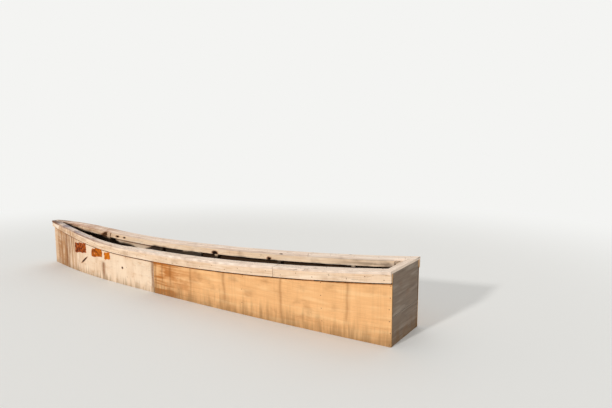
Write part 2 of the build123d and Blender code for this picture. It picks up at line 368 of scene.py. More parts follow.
# What a board's vertices carry: 1 on its worn corners, brown stain, rust mark, dark knots and
# gouges with the painted shadow under the rails, and 1 on the face that is turned into the boat
FIELDS = ("corner", "stain", "patch", "dark", "inside")
# Half the width of a closed check, how far from its ends it is fully open, and the mean depth of
# the saw marks, which lie 25 mm apart, in metres
CHECK_LIP = 0.0004
CHECK_TAPER = 0.25
SAW_MARKS = 0.0006
# Each board's seed moves its grain along by this much, so that no two boards match
GRAIN_SHIFT = 3.7


def section(across, up, checks):
    """The points round a board's section, in order. Each holds its share across and up, the
    direction of its corner offset, its outward direction, its corner's number and its check."""
    points = []
    columns = {"outer": up, "top": across, "inner": up, "under": across}
    for number, (face, (start, end, out)) in enumerate(FACES.items()):
        run = (end[0] - start[0], end[1] - start[1])
        points.append((start, run, out, number, None, 0))
        inside = [(k / columns[face], None, 0) for k in range(1, columns[face])]
        for check in checks:
            if check.face == face:
                inside += [(check.share, check, side) for side in (-1, 0, 1)]
        for share, check, side in sorted(inside, key=lambda item: (item[0], item[2])):
            place = (start[0] + run[0] * share, start[1] + run[1] * share)
            points.append((place, run, out, None, check, side))
        back = (-run[0], -run[1])
        last = (number + 1) % len(FACES)
        points.append((end, back, out, last, None, 0))
        following = list(FACES.values())[last]
        turn = (following[1][0] - following[0][0], following[1][1] - following[0][1])
        diagonal = ((back[0] + turn[0]) * CORNER_SHARE, (back[1] + turn[1]) * CORNER_SHARE)
        both = ((out[0] + following[2][0]) * CORNER_OUT, (out[1] + following[2][1]) * CORNER_OUT)
        points.append((end, diagonal, both, last, None, 0))
    return points


def opening(check, along):
    """How far a check is open at a place along the board, from 0 to 1. It opens fast from its ends."""
    near = min(along - check.start, check.end - along)
    return clamp(near / CHECK_TAPER) ** 0.7


def worn_corners(along, limit, seed):
    """How far each corner of a section is rounded. Long worn stretches repeat about every 110 mm,
    short ones about every 27 mm."""
    sizes = bpy.context.scene.plank_boat.wear
    rounds = []
    for corner in range(len(FACES)):
        long_wear = noise.noise((along * 9, corner * 5.3, seed))
        short_wear = noise.noise((along * 37, corner * 3.1, seed))
        worn = max(0.0, long_wear * 0.6 + short_wear * 0.4) ** 1.5
        rounds.append(min(limit, sizes.edge_round + sizes.edge_wear * worn))
    return rounds


def board(node, span, station, columns, finish, seed, step=BOARD_STEP, field=None, kind="board"):
    """A sawn board as a grid of stations and section points, with worn edges, open checks and
    softened ends. It carries its grain's direction, and it stands for its solid."""
    soft = bpy.context.scene.plank_boat.wear.edge_round
    points = section(*columns, [Check(*row) for row in CHECKS.get(node, ())])
    start, end = span
    count = max(2, round((end - start) / step))
    places = [start, start + soft * 0.3, start + soft]
    places += [start + (end - start) * k / count for k in range(1, count)]
    places += [end - soft, end - soft * 0.3, end]
    verts, grain = [], []
    values = {name: [] for name in FIELDS}
    for along in places:
        width, depth, put = station(along)
        near = min(along - start, end - along)
        shrink = soft * (1 - math.sqrt(1 - max(0.0, 1 - near / soft) ** 2)) if near < soft else 0.0
        rounds = worn_corners(along, ROUND_LIMIT * min(width, depth), seed)
        girth = 0.0
        before = None
        for place, run, out, corner, check, side in points:
            offset = rounds[corner] if corner is not None else 0.0
            sink = shrink
            if check:
                open_here = opening(check, along)
                offset = side * (CHECK_LIP + check.width / 2000 * open_here)
                offset += check.wander / 1000 * noise.noise((along * 4, check.share * 50, seed))
                sink += check.depth / 1000 * open_here if side == 0 else 0.0
            across = place[0] * width + run[0] * offset
            up = place[1] * depth + run[1] * offset
            if before:
                girth += math.dist(before, (across, up))
            before = (across, up)
            sink += SAW_MARKS * (1 + noise.noise((along * 6, girth * 40, seed)))
            across = min(max(across - out[0] * sink, 0.0), width)
            up = min(max(up - out[1] * sink, 0.0), depth)
            position = put(across, up)
            verts.append(position)
            grain += (along, girth, seed * GRAIN_SHIFT)
            values["corner"].append(0.0 if corner is None else 1.0)
            for name in FIELDS[1:]:
                values[name].append(field(position, out, name) if field else 0.0)
    ring = len(points)
    last = len(verts) - ring
    faces = []
    for row in range(0, last, ring):
        for column in range(ring):
            following = (column + 1) % ring
            faces.append((row + column, row + following, row + ring + following, row + ring + column))
    faces.append(tuple(range(ring)))
    faces.append(tuple(range(last, last + ring)))
    mesh = bpy.data.meshes.new(f"{node}_{kind}")
    mesh.from_pydata(verts, [], faces)
    mesh.attributes.new("grain", "FLOAT_VECTOR", "POINT").data.foreach_set("vector", grain)
    for name, numbers in values.items():
        mesh.attributes.new(name, "FLOAT", "POINT").data.foreach_set("value", numbers)
    return finish_piece(f"{node}_{kind}", mesh, wood(finish), FINISHES[finish].slot, (node,))


def finish_piece(name, mesh, material, slot, nodes=()):
    """Turn a mesh's faces outwards, shade it, and let it ride on the boat in place of its solids."""
    form = bmesh.new()
    form.from_mesh(mesh)
    bmesh.ops.recalc_face_normals(form, faces=form.faces)
    form.to_mesh(mesh)
    form.free()
    mesh.polygons.foreach_set("use_smooth", [True] * len(mesh.polygons))
    mesh.set_sharp_from_angle(angle=SHARP_ANGLE)
    mesh.materials.append(material)
    piece = bpy.data.objects.new(name, mesh)
    bpy.context.scene.collection.objects.link(piece)
    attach(piece, "root")
    if nodes:
        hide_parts(*nodes)
    return piece


# Materials

def plug(node, links):
    """Set or link a node's sockets."""
    for socket, value in links.items():
        if isinstance(value, bpy.types.NodeSocket):
            node.id_data.links.new(value, node.inputs[socket])
        else:
            node.inputs[socket].default_value = value


def add(tree, kind, links=None, **settings):
    """Add a shader node, set its properties, and set or link its sockets."""
    node = tree.nodes.new("ShaderNode" + kind)
    for key, value in settings.items():
        setattr(node, key, value)
    plug(node, links or {})
    return node


def new_material(title):
    """A new node material, its tree and its shader."""
    material = bpy.data.materials.new(title)
    material.use_nodes = True
    tree = material.node_tree
    return material, tree, tree.nodes["Principled BSDF"]


def maths(operation, first, second=0.0):
    """The result of some arithmetic. Its first value is a socket."""
    return add(first.id_data, "Math", {0: first, 1: second}, operation=operation).outputs[0]


def times(first, *others):
    """The product of a value and any others."""
    for other in others:
        first = maths("MULTIPLY", first, other)
    return first


def ramp(value, low, high, to_low=0.0, to_high=1.0, shape="SMOOTHSTEP"):
    """A socket's value moved from one range into another."""
    links = {"Value": value, "From Min": low, "From Max": high, "To Min": to_low, "To Max": to_high}
    return add(value.id_data, "MapRange", links, interpolation_type=shape).outputs["Result"]


def blend(tree, share, under, over):
    """One tone over another."""
    return add(tree, "Mix", {"Factor": share, "A": under, "B": over}, data_type="RGBA").outputs["Result"]


def scaled(place, sizes):
    """A place in units of some sizes in millimetres, along, across and through the grain."""
    scale = tuple(1000 / size for size in sizes)
    return add(place.id_data, "VectorMath", {0: place, 1: scale}, operation="MULTIPLY").outputs[0]


def cloud(place, sizes, detail=3.0, distortion=0.0):
    """Noise whose patches have some sizes in millimetres."""
    links = {"Vector": scaled(place, sizes), "Scale": 1.0, "Detail": detail, "Distortion": distortion}
    return add(place.id_data, "TexNoise", links).outputs["Fac"]


def spots(place, sizes):
    """The distance to scattered spots, in units of their spacing, which is in millimetres."""
    links = {"Vector": scaled(place, sizes), "Scale": 1.0}
    return add(place.id_data, "TexVoronoi", links).outputs["Distance"]


# The finishes' names, which their materials take
SILVERED = "Silvered sawn cap softwood"
BROWNED = "Browned sawn cap softwood"
BLEACHED = "Bleached sawn outwale softwood"
PAINTED = "Brushed white oil paint on softwood"
RESINOUS = "Bare resinous side softwood"
SHADED_TRANSOM = "Greyed transom softwood"
INNER = "Dry inner framing softwood"
RUBBED = "Rubbed seat softwood"
SOAKED = "Waterlogged bottom softwood"

# A finish has its record slot, the setting of its main tone, its dark and pale tones, the width of
# its fibres in millimetres, how strongly each layer shows, how far mud has splashed above the
# waterline in metres, its roughness, and the tones that take over between two places along X
Finish = collections.namedtuple(
    "Finish", "slot base dark pale grain streak paint check drip wet rough inside tips",
    defaults=(0.5, 0.0, 0.5, 0.0, 0.0, 0.8, 0.0, ()),
)
FINISHES = {
    # Softwood left bare to sun and rain: silvered, with raised grain and fine checks
    SILVERED: Finish(
        "weathered_cap", "cap", "#a0826a", "#f3e4d4", 3.5, check=0.7, rough=0.85,
        # The lilac grey towards the bow is painted skylight
        tips=(("#92878d", 0.7, 2.0), ("#5f4128", 2.25, 2.45)),
    ),
    # The same softwood where resin has browned it towards the bow
    BROWNED: Finish(
        "weathered_cap", "cap", "#a8785a", "#f7e6d6", 3.5, streak=0.6, check=0.7, rough=0.85,
        tips=(("#c29a80", 0.9, 1.9), ("#5f4128", 2.25, 2.45)),
    ),
    # Bare softwood bleached by the sun: pinkish cream with brown flecks
    BLEACHED: Finish(
        "worn_strake", "strake", "#b58250", "#efdac2", 4.0, streak=0.55, check=0.6, drip=0.8,
        tips=(("#ecd9c4", 2.36, 2.38),),
    ),
    # Thin brushed oil paint rubbed back to the tan wood, with brown runs over it
    PAINTED: Finish(
        "worn_paint_side", "paint", "#b98450", "#ead3b8", 6.0, streak=0.3, paint=0.8, check=0.3,
        drip=1.0, wet=0.11, rough=0.66, tips=(("#a97a50", 2.0, 2.3), ("#dcb792", 2.41, 2.49)),
    ),
    # Bare resinous softwood, orange tan, darker where water has run
    RESINOUS: Finish(
        "bare_side", "bare", "#a8682c", "#edbf89", 6.0, streak=0.2, check=0.2, drip=1.0, wet=0.2,
        rough=0.72, tips=(("#a8601e", -0.7, 0.12),),
    ),
    # The transom's planks, out of the sun: grey brown, which is painted shade
    SHADED_TRANSOM: Finish(
        "bare_side", "transom", "#5d4c40", "#a39688", 6.0, streak=0.45, check=0.4, drip=0.3, wet=0.2,
    ),
    # Planed timber inside: dry and peach brown above, black below with damp dirt and painted shadow
    INNER: Finish(
        "inner_timber", "inner", "#b58458", "#fae5cc", 4.5, streak=0.35, drip=0.2, rough=0.82,
        # Towards the stern the darker tone is painted shade
        inside=1.0, tips=(("#9a6338", 1.3, 2.1), ("#5e483a", -1.5, -2.5)),
    ),
    # Seat boards, rubbed smooth and greyed
    RUBBED: Finish("inner_timber", "seat", "#7a6048", "#cbb49b", 5.0, rough=0.7),
    # Bottom planks soaked for years: nearly black brown
    SOAKED: Finish("dark_bottom", "bottom", "#231810", "#5c4632", 6.0, streak=0.6, check=0.4, rough=0.55),
}
AXES = {"X": ("X", "Y", "Z"), "Y": ("Y", "X", "Z"), "Z": ("Z", "X", "Y")}
# Tones of single layers
KNOT = "#4f2e16"
WASH = "#a87544"
# Rim and core of the dark spots, which also paint the shadow under the rails
SPOT_AND_SHADOW_RIM = "#9a5a26"
SPOT_AND_SHADOW_CORE = "#1c0c05"
RUST_PIT = "#451700"
NAIL_CRUST = "#8a4a24"
# Old dry wood hardly shines
WOOD_IOR = 1.45
WOOD_SHINE = 0.12
# Depth in metres of the grain's relief, and the height below which damp dirt and painted shadow
# darken the inside amidships
GRAIN_RELIEF = 0.0012
DAMP_AND_SHADOW_Z = 0.336


class Shade:
    """One wood material's patterns. Its tone and its relief are built up layer by layer."""

    def __init__(self, tree, finish, along):
        self.tree = tree
        self.finish = finish
        self.place = add(tree, "TexCoord").outputs["Object"]
        axes = add(tree, "SeparateXYZ", {"Vector": self.place}).outputs
        self.x, self.z = axes["X"], axes["Z"]
        if along == "grain":
            self.way = self.field("grain", "Vector")
        else:
            turned = {axis: axes[source] for axis, source in zip("XYZ", AXES[along])}
            self.way = add(tree, "CombineXYZ", turned).outputs["Vector"]
        # Fibres 3 to 7 mm wide and 250 mm long, bands of them, bleached bands, and blotches
        fibre = finish.grain
        self.fine = cloud(self.way, (250, fibre, fibre), 4.0)
        self.band = cloud(self.way, (700, fibre * 6, 300), 3.0, 0.6)
        self.bleach = cloud(self.way, (420, 45, 300))
        self.blotch = cloud(self.place, (190, 190, 120), 4.0)
        self.tone = self.colour(finish.base)
        self.relief = times(self.fine, -0.5)

    def colour(self, name):
        """A tone from its hex code or from the name of its setting."""
        if name.startswith("#"):
            return linear(name)
        return tuple(getattr(bpy.context.scene.plank_boat.colours, name))

    def field(self, name, output="Fac"):
        """What the mesh carries under a name."""
        return add(self.tree, "Attribute", attribute_name=name).outputs[output]

    def mix(self, share, under, over):
        """One named tone over another."""
        return blend(self.tree, share, self.colour(under), self.colour(over))

    def lay(self, over, *shares):
        """Cover the tone so far with another, by the product of some shares."""
        over = self.colour(over) if isinstance(over, str) else over
        self.tone = blend(self.tree, times(*shares), self.tone, over)

    def lift(self, *heights):
        """Raise the relief by the product of some values, or lower it if that is below zero."""
        self.relief = maths("ADD", self.relief, times(*heights))


def lay_grain(shade):
    """Dark fibres and bands, pale bleached bands, brown blotches and a few small knots."""
    dark, streak = shade.finish.dark, shade.finish.streak
    shade.lay(dark, ramp(shade.fine, 0.42, 0.72), streak)
    shade.lay(dark, ramp(shade.band, 0.5, 0.72), streak, 0.7)
    shade.lay(shade.finish.pale, ramp(shade.bleach, 0.48, 0.68, 0.0, 0.7))
    shade.lay("stain", ramp(shade.blotch, 0.52, 0.78, 0.0, 0.35))
    # Knots 10 to 20 mm wide, one to about 420 mm along and 130 mm across the grain
    shade.lay(KNOT, ramp(spots(shade.way, (420, 130, 500)), 0.04, 0.075, 1.0, 0.0), 0.85)


def lay_paint(shade):
    """Paint 0.1 mm thick, rubbed off in patches 60 mm wide and along the corners."""
    rubbed = times(shade.field("corner"), ramp(shade.bleach, 0.4, 0.6, 0.05, 0.3))
    wear = maths("ADD", cloud(shade.way, (75, 55, 200), 6.0), rubbed)
    cover = times(ramp(wear, 0.54, 0.7, 1.0, 0.0), shade.finish.paint)
    coat = shade.mix(ramp(shade.blotch, 0.35, 0.7), shade.finish.pale, shade.finish.base)
    shade.lay(shade.finish.dark, 0.1)
    shade.lay(coat, cover)
    shade.lift(cover, 0.3)


def lay_checks(shade):
    """Fine checks that follow the grain, 2 mm wide and 200 mm long."""
    lines = cloud(shade.way, (340, 20, 22), 2.0, 0.1)
    near = ramp(maths("ABSOLUTE", maths("SUBTRACT", lines, 0.5)), 0.0, 0.01, 1.0, 0.0)
    share = ramp(cloud(shade.way, (500, 150, 400), 2.0), 0.5, 0.6)
    check = times(near, share, shade.finish.check)
    shade.lay("crack", check)
    shade.lift(check, -1.5)


def lay_runs(shade):
    """Runs of brown water down from the rail, about 15 mm wide, thickest just behind the stem."""
    to_bow = times(ramp(shade.x, 1.5, 2.15, 0.08, 1.0), ramp(shade.x, 2.4, 2.48, 1.0, 0.45))
    strength = times(to_bow, shade.finish.drip, 0.85)
    shade.lay(WASH, ramp(cloud(shade.place, (75, 75, 500)), 0.4, 0.62), strength)
    shade.lay("stain", ramp(cloud(shade.place, (20, 40, 450), 3.0, 0.5), 0.5, 0.66), strength)


def lay_spots_and_rail_shadow(shade):
    """Knots, gouges and the painted shadow under the rails, nearly black inside a brown rim."""
    spot = times(shade.field("dark"), ramp(cloud(shade.way, (30, 12, 60)), 0.3, 0.6, 0.8, 1.0))
    shade.lay(SPOT_AND_SHADOW_RIM, ramp(spot, 0.1, 0.5, 0.0, 0.7))
    shade.lay(SPOT_AND_SHADOW_CORE, ramp(spot, 0.45, 0.75))
    shade.lift(spot, -0.8)


def lay_tips(shade):
    """Tones towards the ends, in bands and blotches: real ones, painted skylight and painted shade."""
    uneven = ramp(times(maths("ADD", shade.band, shade.blotch), 0.5), 0.42, 0.58, 0.15, 0.85)
    for code, start, end in shade.finish.tips:
        shade.lay(code, ramp(shade.x, start, end), uneven)


def lay_marks(shade):
    """The rust marks: brushed paint with a ragged edge, darkest forward."""
    ragged = ramp(cloud(shade.place, (45, 45, 28), 4.0), 0.25, 0.75, -0.2, 0.2)
    mark = maths("ADD", shade.field("patch"), ragged)
    mottle = cloud(shade.place, (34, 34, 30), 5.0)
    rust = shade.mix(ramp(shade.x, 1.0, 1.75), "mark_light", "mark_dark")
    pitted = times(ramp(mottle, 0.4, 0.56, 1.0, 0.0), ramp(shade.x, 1.0, 1.6, 0.3, 0.9))
    rust = blend(shade.tree, pitted, rust, linear(RUST_PIT))
    shade.lay(rust, ramp(mark, 0.42, 0.58), ramp(mottle, 0.62, 0.72, 1.0, 0.7))


def lay_splash(shade):
    """Mud splashed up the wood above the waterline, in upright streaks that thin out."""
    waterline = bpy.context.scene.plank_boat.wear.waterline
    ragged = ramp(cloud(shade.place, (30, 60, 260), 4.0), 0.3, 0.7, -0.05, 0.05)
    above = maths("ADD", shade.z, ragged)
    shade.lay("splash", ramp(above, waterline - 0.08, waterline + shade.finish.wet, 0.8, 0.0))


def lay_damp_and_shadow(shade):
    """Damp dirt and painted shadow that blacken the inside below a line. It follows the sheer aft of
    the shoulder, dips there, and rises to the bow, a little higher on the timbers than on the panels."""
    inside = shade.finish.inside
    to_bow = ramp(shade.x, 0.4, 2.5, shape="LINEAR")
    to_stern = ramp(shade.x, SHEER_LOW[0], STERN_X, shape="LINEAR")
    rises = (
        times(maths("POWER", to_bow, 1.5), 0.325),
        times(maths("POWER", to_stern, 2.0), SHEER_STERN_Z - SHEER_LOW[1]),
        ramp(shade.x, 0.75, 1.1, 0.13, 0.0),
        ramp(shade.x, 1.1, 1.4, 0.0, 0.03 * inside),
        ramp(shade.blotch, 0.3, 0.7, -0.012, 0.012),
    )
    depth = maths("ADD", times(shade.z, -1.0), DAMP_AND_SHADOW_Z)
    for rise in rises:
        depth = maths("ADD", depth, rise)
    shade.lay("damp_and_shadow", ramp(depth, -0.015, 0.02, 0.0, 0.95), inside or shade.field("inside"))


def wood(name, along="grain"):
    """The material of a finish. Its grain runs as the board's own direction, or along an axis."""
    title = name if along == "grain" else f"{name}, grain along {along}"
    if title in bpy.data.materials:
        return bpy.data.materials[title]
    material, tree, shader = new_material(title)
    finish = FINISHES[name]
    shade = Shade(tree, finish, along)
    lay_grain(shade)
    if finish.paint:
        lay_paint(shade)
    else:
        # Bare corners are rubbed pale
        shade.lay(finish.pale, shade.field("corner"), ramp(shade.band, 0.4, 0.6, 0.1, 0.6))
    lay_checks(shade)
    if finish.drip:
        lay_runs(shade)
    lay_spots_and_rail_shadow(shade)
    lay_tips(shade)
    # Brown stains, a little stronger in the grain's valleys
    shade.lay("stain", shade.field("stain"), ramp(shade.fine, 0.25, 0.6, 0.8, 0.95))
    if finish.paint:
        lay_marks(shade)
    if finish.wet:
        lay_splash(shade)
    lay_damp_and_shadow(shade)
    rough = ramp(shade.fine, 0.2, 0.8, finish.rough - 0.08, min(finish.rough + 0.08, 1.0))
    bump = add(tree, "Bump", {"Height": shade.relief, "Strength": 0.7, "Distance": GRAIN_RELIEF})
    plug(shader, {
        "Base Color": shade.tone, "Roughness": rough, "Normal": bump.outputs["Normal"],
        "IOR": WOOD_IOR, "Specular IOR Level": WOOD_SHINE,
    })
    return material


def rusted_iron():
    """Forged iron nails, rusted through: dull dark brown, no bright metal left."""
    title = "Rusted forged nail iron"
    if title in bpy.data.materials:
        return bpy.data.materials[title]
    material, tree, shader = new_material(title)
    # Crust in grains 3 mm wide, coarser than real rust so that it shows
    crust = cloud(add(tree, "TexCoord").outputs["Object"], (3, 3, 3), 4.0)
    tone = blend(tree, crust, tuple(bpy.context.scene.plank_boat.colours.iron), linear(NAIL_CRUST))
    bump = add(tree, "Bump", {"Height": crust, "Strength": 0.5, "Distance": 0.0006}).outputs["Normal"]
    plug(shader, {"Base Color": tone, "Metallic": 0.3, "Roughness": 0.8, "Normal": bump})
    return material


# Open checks, stains, marks and dark spots, from short tables

# An open check's face, its share across that face, where it starts and ends along the board, and
# its width, depth and wandering in millimetres
Check = collections.namedtuple("Check", "face share start end width depth wander")
CHECKS = {
    "gunwale_cap_fore_port": (
        ("top", 0.35, -1.5, -0.7, 3.5, 9, 5),
        ("top", 0.65, 0.1, 1.1, 2.6, 7, 5),
        ("top", 0.45, 1.9, 2.7, 3.0, 9, 3),
        ("top", 0.25, -0.5, 0.2, 2.0, 6, 5),
    ),
    "gunwale_cap_fore_starboard": (
        ("top", 0.55, -1.5, -0.9, 3.0, 8, 5),
        ("top", 0.35, 0.3, 1.4, 3.2, 8, 5),
        ("top", 0.65, 1.7, 2.7, 2.6, 8, 3),
    ),
    "gunwale_cap_aft_port": (
        ("top", 0.45, -2.7, -2.0, 3.6, 10, 5),
        ("top", 0.65, -1.9, -1.4, 2.6, 8, 5),
    ),
    "gunwale_cap_aft_starboard": (
        ("top", 0.35, -2.7, -2.1, 3.0, 9, 5),
        ("top", 0.55, -1.8, -1.4, 3.0, 8, 5),
    ),
    "outwale_fore_port": (
        ("outer", 0.375, -1.5, -0.5, 2.6, 7, 4),
        ("outer", 0.625, 0.3, 1.2, 2.0, 6, 4),
    ),
    "outwale_fore_starboard": (
        ("outer", 0.625, -1.5, -0.8, 2.6, 7, 4),
        ("outer", 0.375, 0.6, 1.6, 2.2, 6, 4),
    ),
}
STAINS = (
    # side, middle x, half width, top z, bottom z, strength
    (PORT, 2.43, 0.012, 0.60, 0.16, 0.45),
    (PORT, 2.33, 0.014, 0.58, 0.22, 0.6),
    (PORT, 2.14, 0.030, 0.56, 0.10, 0.85),
    (PORT, 2.02, 0.012, 0.52, 0.20, 0.5),
    (PORT, 1.91, 0.010, 0.54, 0.30, 0.5),
    (PORT, 1.17, 0.028, 0.30, 0.10, 1.0),
    (PORT, 0.242, 0.016, 0.52, 0.10, 1.0),
    (PORT, 0.19, 0.012, 0.48, 0.12, 0.7),
    (PORT, 0.08, 0.008, 0.46, 0.20, 0.7),
    (PORT, -0.05, 0.012, 0.44, 0.16, 0.6),
    (PORT, -0.36, 0.010, 0.45, 0.22, 0.5),
    (PORT, -0.83, 0.014, 0.48, 0.14, 0.5),
    (PORT, -1.52, 0.012, 0.54, 0.12, 0.5),
    (PORT, -2.20, 0.010, 0.58, 0.20, 0.5),
    (STARBOARD, 2.42, 0.028, 0.60, 0.20, 0.8),
    (STARBOARD, 2.20, 0.020, 0.56, 0.15, 0.6),
    (STARBOARD, 1.25, 0.014, 0.45, 0.15, 0.6),
    (STARBOARD, 0.22, 0.016, 0.48, 0.12, 0.6),
)
MARKS = (
    # fore x, its low z, its high z, aft x, its low z, its high z, on the port side
    (1.875, 0.335, 0.465, 1.575, 0.371, 0.500),
    (1.440, 0.345, 0.445, 1.195, 0.369, 0.488),
    (1.155, 0.349, 0.433, 1.030, 0.367, 0.450),
)
SPOTS = (
    # side, whether it is on the inner face, x, z, half length, half height, slope of its axis
    (PORT, False, 1.635, 0.272, 0.060, 0.010, -0.60),
    (PORT, False, -1.060, 0.566, 0.055, 0.012, 0.25),
    (PORT, False, 0.790, 0.300, 0.012, 0.010, 0.0),
    (STARBOARD, True, 1.650, 0.555, 0.060, 0.020, -0.2),
    (STARBOARD, True, 1.450, 0.535, 0.022, 0.010, 0.0),
    (STARBOARD, True, 1.330, 0.528, 0.018, 0.008, 0.0),
    (STARBOARD, True, -0.180, 0.500, 0.034, 0.016, 0.0),
    (STARBOARD, True, -0.950, 0.530, 0.022, 0.012, 0.0),
    (STARBOARD, False, 1.900, 0.380, 0.020, 0.014, 0.2),
    (STARBOARD, False, -1.300, 0.330, 0.022, 0.015, 0.0),
)
# How far a mark fades at its edge, and how far down the painted shadow reaches under the
# outwales and the inwales, in metres
MARK_EDGE = 0.02
RAIL_SHADOW = 0.024
INWALE_SHADOW = 0.045

under_rail = sheer(CAP_THICK + OUTWALE_DEEP, CAP_THICK + OUTWALE_DEEP_BOW)
under_inwale = sheer(CAP_THICK + INWALE_DEEP)


def side_field(position, out, kind):
    """How stained, marked or dark a point of a side board is, or whether it faces into the boat."""
    x, y, z = position
    best = 0.0
    if kind == "dark":
        for side, inner, middle, level, half, tall, slope in SPOTS:
            if side * y > 0 and inner == (out[0] > 0):
                # Full to 0.8 of the spot's half size, and gone at twice that half size
                away = math.hypot((x - middle) / half, (z - level - slope * (x - middle)) / tall)
                best = max(best, clamp((2.0 - away) / 1.2))
        # Painted shadow in a band under the outwale outside and under the inwale inside
        rail, reach = (under_rail, RAIL_SHADOW) if out[0] < 0 else (under_inwale, INWALE_SHADOW)
        depth = rail(x) - z
        return max(best, clamp(1.6 * (1 - depth / reach))) if depth > 0 else best
    if out[0] >= 0:
        return 1.0 if kind == "inside" and out[0] > 0 else 0.0
    if kind == "stain":
        for side, middle, half, top, foot, strength in STAINS:
            if side * y > 0:
                # It sways by up to 20 mm, starts within 30 mm, and thins out 80 mm above its foot
                lean = middle + 0.02 * noise.noise((z * 6, middle, 1.0))
                near = max(0.0, 1 - abs(x - lean) / (half * 2))
                fade = clamp((top - z) / 0.03 + 1) * clamp((z - foot) / 0.08)
                best = max(best, strength * near * fade)
    if kind == "patch" and y > 0:
        for fore, fore_low, fore_high, aft, aft_low, aft_high in MARKS:
            share = (fore - x) / (fore - aft)
            low = fore_low + (aft_low - fore_low) * share
            high = fore_high + (aft_high - fore_high) * share
            inside = min(x - aft, fore - x, z - low, high - z)
            best = max(best, clamp(0.5 + inside / (2 * MARK_EDGE)))
    return best


def cap_field(position, out, kind):
    """Brown weathering on a cap's outer edge, stronger towards the bow."""
    if kind != "stain" or out[0] >= 0:
        return 0.0
    x = position[0]
    return min(0.6, max(0.15, 0.15 + 0.3 * x)) + 0.3 * noise.noise((x * 14, 0.0, 5.0))


# Edges and operators

def pointed(breadth):
    """An edge that stops just short of the centreline."""
    return lambda x, z: max(breadth(x, z), MITRE_GAP)


def nosed(breadth):
    """A cap's outer edge with its fore corner cut off."""
    return lambda x, z: breadth(x, z) - max(0.0, CAP_CORNER - (CAP_BOW_X - x))


def torn(sound):
    """The port cap's inner edge: sound aft of the break, ragged at its end, then frayed to the bow."""
    line = edge(BREAK_IN, BREAK_IN_BOW)

    def breadth(x, z):
        if x < BREAK_END[0][0]:
            return sound(x, z)
        if x > BREAK_END[-1][0]:
            fray = FRAY * noise.noise((x * 45, 2.0, 0.0)) * min(1.0, (BOW_X - x) / 0.2)
            return max(line(min(x, BOW_X), z) + fray, sound(x, z))
        for (x_from, y_from), (x_to, y_to) in zip(BREAK_END, BREAK_END[1:]):
            if x <= x_to:
                return y_from + (y_to - y_from) * (x - x_from) / (x_to - x_from)

    return breadth


class BOAT_OT_sides(bpy.types.Operator):
    """Lay the side panels, chine logs, inwales and risers"""
    bl_idname = "boat.sides"
    bl_label = "Side boards"

    def execute(self, context):
        gap = context.scene.plank_boat.wear.joint_gap
        skin, lining, rib_face, inwale_face = edge(0), edge(PANEL_THICK), edge(RIB_IN), edge(INWALE_IN)
        foot, head = bottom(BOTTOM_THICK), sheer(CAP_THICK)
        aft_end, fore_end = STERN_X + TRANSOM_THICK, BOW_X - STEM_LONG
        rows = (
            # name, its edges and heights, from, to, columns, finish, step, field
            ("side_panel_fore", (skin, lining, foot, head),
             PANEL_JOINT_X + gap, BOW_X - STEM_NOSE - CLEARANCE, (2, 56), PAINTED, 0.009, side_field),
            ("side_panel_aft", (skin, lining, foot, head),
             STERN_X, PANEL_JOINT_X - gap, (2, 50), RESINOUS, 0.012, side_field),
            ("chine_log", (lining, edge(CHINE_LOG_IN), foot, bottom(BOTTOM_THICK + CHINE_LOG_DEEP)),
             aft_end, fore_end, (4, 4), INNER, TIMBER_STEP, None),
            ("inwale", (rib_face, inwale_face, under_inwale, head),
             aft_end, fore_end - BREASTHOOK_LONG, (3, 6), INNER, 0.02, side_field),
            ("riser", (rib_face, inwale_face, lambda x: RISER_Z, lambda x: RISER_Z + RISER_DEEP),
             RISER_AFT_X, FRAME_X[0] - FRAME_WIDE / 2, (3, 6), INNER, TIMBER_STEP, None),
        )
        for number, (name, shape, start, end, columns, finish, step, field) in enumerate(rows):
            for side_name, side in SIDES:
                board(
                    f"{name}_{side_name}", (start, end), along_hull(*shape, side), columns, finish,
                    number * 2 + (side + 1) / 2, step, field,
                )
        return {"FINISHED"}


class BOAT_OT_rails(bpy.types.Operator):
    """Lay the gunwale caps, the outwales and the transom cap"""
    bl_idname = "boat.rails"
    bl_label = "Caps and outwales"

    def execute(self, context):
        gap = context.scene.plank_boat.wear.joint_gap
        cap_outer = nosed(edge(-CAP_OVERHANG, -OUTWALE_THICK_BOW, CAP_BOW_X))
        cap_inner = pointed(edge(CAP_IN, CAP_IN_BOW, CAP_BOW_X))
        cap = (cap_outer, cap_inner, sheer(CAP_THICK), sheer(0), (10, 3), SILVERED, cap_field)
        face = edge(-OUTWALE_THICK, -OUTWALE_THICK_BOW)
        outwale = (face, edge(0), under_rail, sheer(CAP_THICK), (2, 8), BLEACHED, None)
        rows = (
            # name, its edges, heights, columns, finish and field, from, to
            ("gunwale_cap_fore", cap, RAIL_JOINT_X + gap, CAP_BOW_X),
            ("gunwale_cap_aft", cap, STERN_X, RAIL_JOINT_X - gap),
            ("outwale_fore", outwale, RAIL_JOINT_X + gap, BOW_X),
            ("outwale_aft", outwale, STERN_X, RAIL_JOINT_X - gap),
        )
        for number, (name, shape, start, end) in enumerate(rows, start=10):
            outer, inner, low, high, columns, finish, field = shape
            for side_name, side in SIDES:
                node = f"{name}_{side_name}"
                broken = node == "gunwale_cap_fore_port"
                browned = node == "gunwale_cap_fore_starboard"
                board(
                    node, (start, end), along_hull(outer, torn(inner) if broken else inner, low, high, side),
                    columns, BROWNED if browned else finish, number * 2 + (side + 1) / 2,
                    TORN_STEP if broken else RAIL_STEP, field,
                )
        half = edge(CAP_IN)(STERN_X, SHEER_STERN_Z) - CLEARANCE
        x_to = STERN_X + TRANSOM_THICK + POST_THICK
        station = across_boat(STERN_X, x_to, sheer(CAP_THICK), sheer(0), edge(CAP_IN))
        board("transom_cap", (-half, half), station, (6, 3), SILVERED, 31)
        return {"FINISHED"}


